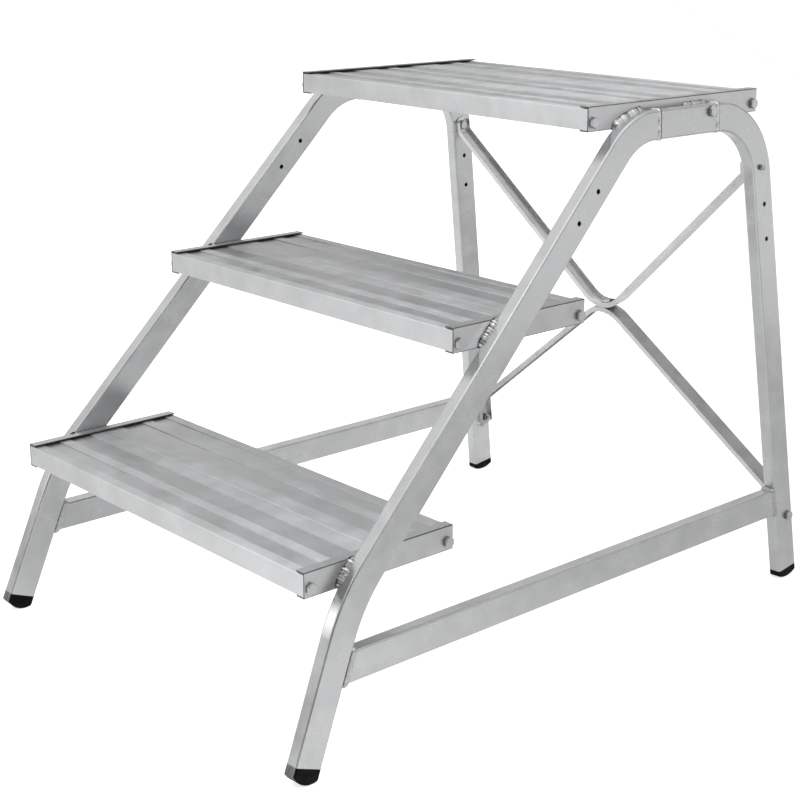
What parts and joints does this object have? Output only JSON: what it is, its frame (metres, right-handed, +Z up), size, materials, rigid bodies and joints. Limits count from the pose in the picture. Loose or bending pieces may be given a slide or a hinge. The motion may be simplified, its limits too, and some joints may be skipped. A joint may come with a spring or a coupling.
{
  "type": "platform step stool",
  "caption": "Free-standing aluminium platform step: splayed welded tube side frames, ribbed plank steps and platform, crossed brace at the rear, plastic feet.",
  "frame": {"origin": "on the floor under the middle of the part", "axes": "+X across the steps to the right, +Y from the lowest step to the rear, +Z up"},
  "size_m": [0.699, 0.9844, 0.753],
  "materials": {
    "tube": "satin mill finish",
    "plank": "satin extruded",
    "channel": "satin mill finish",
    "brace": "satin mill finish",
    "weld": "bright, rippled",
    "zinc": "zinc plated",
    "foot": "matte black"
  },
  "bodies": {
    "root": {"left_front_stile": "tube", "left_top_rail": "tube", "left_rear_leg": "tube", "left_lower_strut": "tube", "right_front_stile": "tube", "right_top_rail": "tube", "right_rear_leg": "tube", "right_lower_strut": "tube", "lower_step_front_plank": "plank", "lower_step_rear_plank": "plank", "middle_step_front_plank": "plank", "middle_step_rear_plank": "plank", "platform_front_plank": "plank", "platform_middle_plank": "plank", "platform_rear_plank": "plank", "lower_step_left_channel": "channel", "lower_step_right_channel": "channel", "middle_step_left_channel": "channel", "middle_step_right_channel": "channel", "platform_left_channel": "channel", "platform_right_channel": "channel", "upper_brace": "brace", "lower_brace": "brace", "left_frame_welds": "weld", "right_frame_welds": "weld", "tread_bolts": "zinc", "platform_rail_bolts": "zinc", "upper_brace_bolts": "zinc", "lower_brace_bolts": "zinc", "lower_brace_nuts": "zinc", "brace_centre_bolt": "zinc", "brace_centre_nut": "zinc", "left_front_foot": "foot", "left_rear_foot": "foot", "right_front_foot": "foot", "right_rear_foot": "foot"}
  },
  "joints": []
}
